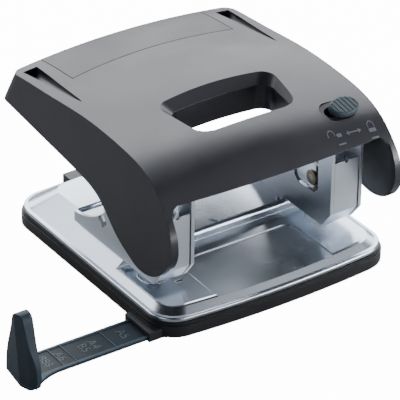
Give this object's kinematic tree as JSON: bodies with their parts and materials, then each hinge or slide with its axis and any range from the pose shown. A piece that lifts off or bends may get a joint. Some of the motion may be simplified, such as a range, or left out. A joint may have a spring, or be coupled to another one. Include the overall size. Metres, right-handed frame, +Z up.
{
  "type": "two-hole paper punch",
  "caption": "Desk paper punch with a wide curved handle, twin steel punch frames on a stamped base, a chip tray and a sliding paper guide with an upright stop.",
  "frame": {"origin": "on the table plane, under the middle of the line between the two punch pins", "axes": "+X along the hole line towards the lock slider, +Y from the paper side to the hand side, +Z up"},
  "size_m": [0.1717, 0.1273, 0.0738],
  "materials": {
    "base_steel": "satin silver, stamped and rolled at the rim",
    "frame_steel": "matt nickel plate on folded sheet",
    "lever_steel": "zinc plated sheet",
    "hard_steel": "ground tool steel",
    "fastener_steel": "bright zinc",
    "spring_steel": "oiled spring wire",
    "bush_brass": "dull brass",
    "cover_plastic": "black, satin gloss",
    "panel_plastic": "black, fine matt",
    "tray_plastic": "black, soft matt",
    "guide_plastic": "dark slate blue grey",
    "slider_plastic": "slate grey"
  },
  "bodies": {
    "base": {"base_plate": "base_steel", "frame_rivets": "fastener_steel", "left_die": "hard_steel", "right_die": "hard_steel", "left_frame": "frame_steel", "right_frame": "frame_steel", "left_pin_guide": "frame_steel", "right_pin_guide": "frame_steel", "hinge_axles": "fastener_steel", "axle_clips": "fastener_steel", "left_return_spring": "spring_steel", "right_return_spring": "spring_steel"},
    "tray": {"chip_tray": "tray_plastic"},
    "guide": {"paper_guide": "guide_plastic"},
    "handle": {"handle_cover": "cover_plastic", "rear_panel": "panel_plastic", "press_lever": "lever_steel", "push_rollers": "hard_steel", "roller_pins": "fastener_steel", "cover_screws": "fastener_steel"},
    "lock": {"lock_slider": "slider_plastic", "lock_bar": "lever_steel"},
    "left_punch": {"left_punch_pin": "hard_steel", "left_cross_pin": "fastener_steel", "left_cross_bushes": "bush_brass", "left_spring_washer": "fastener_steel"},
    "right_punch": {"right_punch_pin": "hard_steel", "right_cross_pin": "fastener_steel", "right_cross_bushes": "bush_brass", "right_spring_washer": "fastener_steel"}
  },
  "joints": [
    {"name": "handle_hinge", "type": "hinge", "parent": "base", "child": "handle", "pos_m": [0, -0.0126, 0.0562], "axis": [-1, 0, 0], "range_deg": [0, 21], "stiffness_Nm_per_rad": 0.8, "springref_deg": -17.19},
    {"name": "left_pin_slide", "type": "slide", "parent": "base", "child": "left_punch", "axis": [0, 0, -1], "range_m": [0, 0.0053], "deforming": ["left_return_spring"]},
    {"name": "right_pin_slide", "type": "slide", "parent": "base", "child": "right_punch", "axis": [0, 0, -1], "range_m": [0, 0.0053], "deforming": ["right_return_spring"]},
    {"name": "lock_slide", "type": "slide", "parent": "handle", "child": "lock", "axis": [-1, 0, 0], "range_m": [0, 0.004]},
    {"name": "tray_hinge", "type": "hinge", "parent": "base", "child": "tray", "pos_m": [0, -0.0318, 0.0066], "axis": [-1, 0, 0], "range_deg": [0, 60]},
    {"name": "guide_slide", "type": "slide", "parent": "tray", "child": "guide", "axis": [-1, 0, 0], "range_m": [-0.04, 0.038]}
  ],
  "couplings": [
    {"joint": "left_pin_slide", "follows": "handle_hinge", "m_per_rad": 0.0141},
    {"joint": "right_pin_slide", "follows": "handle_hinge", "m_per_rad": 0.0141}
  ]
}
